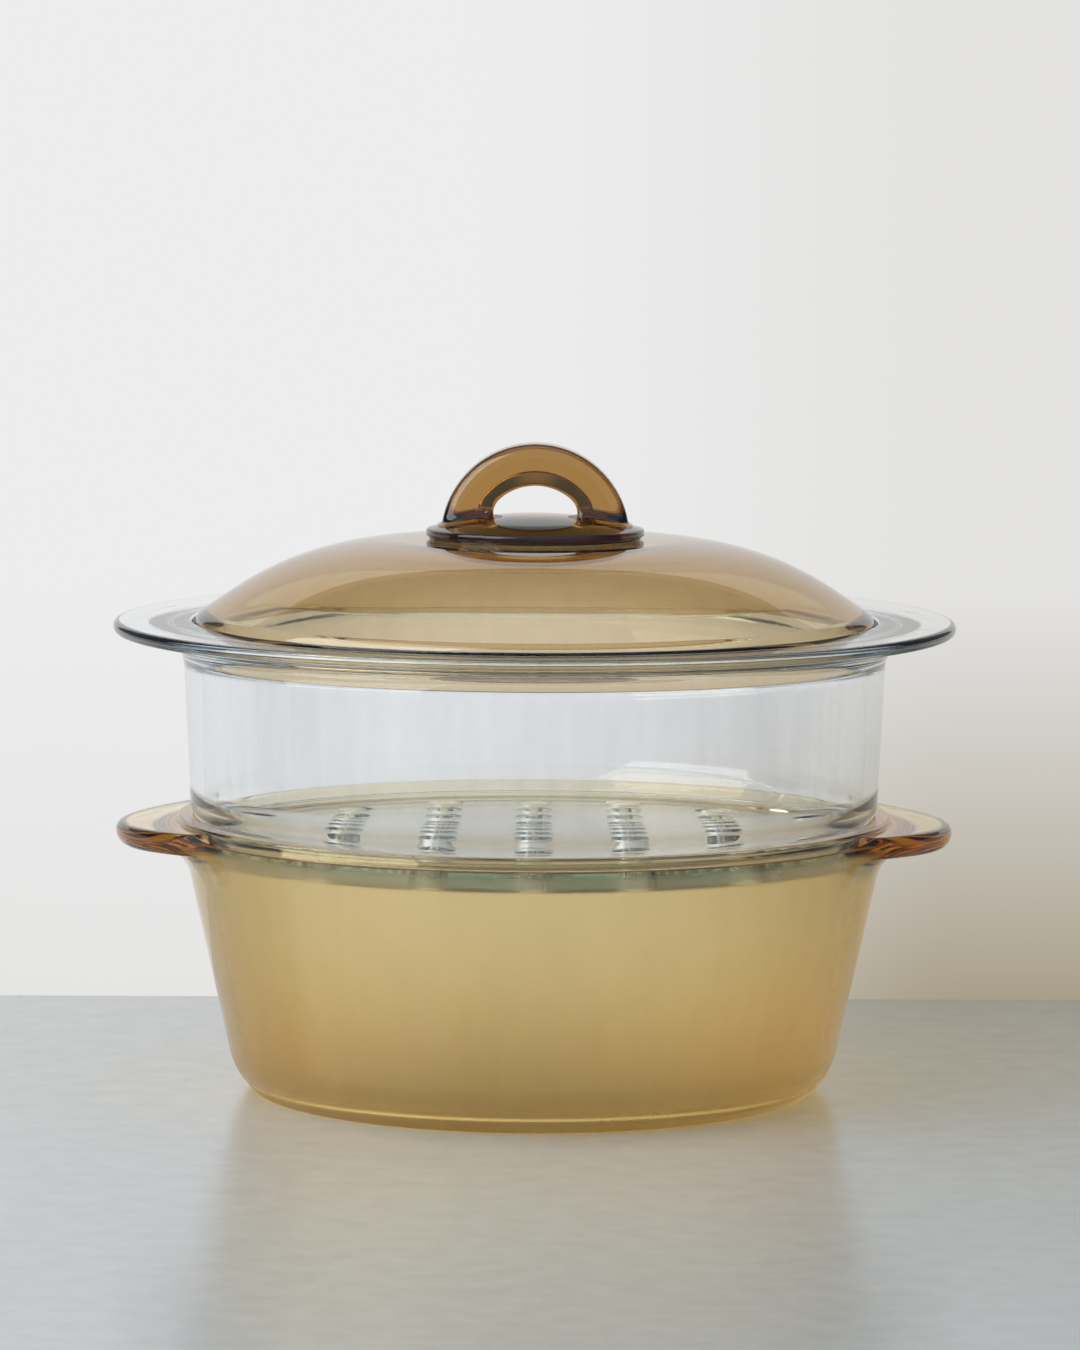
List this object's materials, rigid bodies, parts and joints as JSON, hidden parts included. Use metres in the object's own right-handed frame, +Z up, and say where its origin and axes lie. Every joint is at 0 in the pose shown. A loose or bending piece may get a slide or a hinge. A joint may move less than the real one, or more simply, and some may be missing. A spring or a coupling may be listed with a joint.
{
  "type": "steam cooker",
  "caption": "Amber glass-ceramic pot with lug handles, a flanged clear glass steamer with a perforated floor standing in its rim, and a domed brown glass lid with a loop handle.",
  "frame": {"origin": "centre of the pot's flat base, on the surface that it stands on", "axes": "+Z up along the common axis of pot, steamer and lid; +X towards one of the pot's two lug handles; the lid's loop stands in the XZ plane"},
  "size_m": [0.2616, 0.2616, 0.2018],
  "materials": {
    "amber_glass_ceramic": "satin translucent amber",
    "clear_glass": "clear gloss",
    "brown_glass": "brown tinted gloss",
    "brown_handle_glass": "brown tinted gloss",
    "clear_bond": "clear adhesive"
  },
  "bodies": {
    "pot": {"pot_body": "amber_glass_ceramic"},
    "steamer": {"steamer_basket": "clear_glass"},
    "lid": {"lid_dome": "brown_glass", "lid_handle": "brown_handle_glass", "handle_bond": "clear_bond"}
  },
  "joints": [
    {"name": "steamer_lift", "type": "slide", "parent": "pot", "child": "steamer", "axis": [0, 0, 1], "range_m": [0, 0.1]},
    {"name": "lid_lift", "type": "slide", "parent": "steamer", "child": "lid", "axis": [0, 0, 1], "range_m": [0, 0.1]}
  ]
}
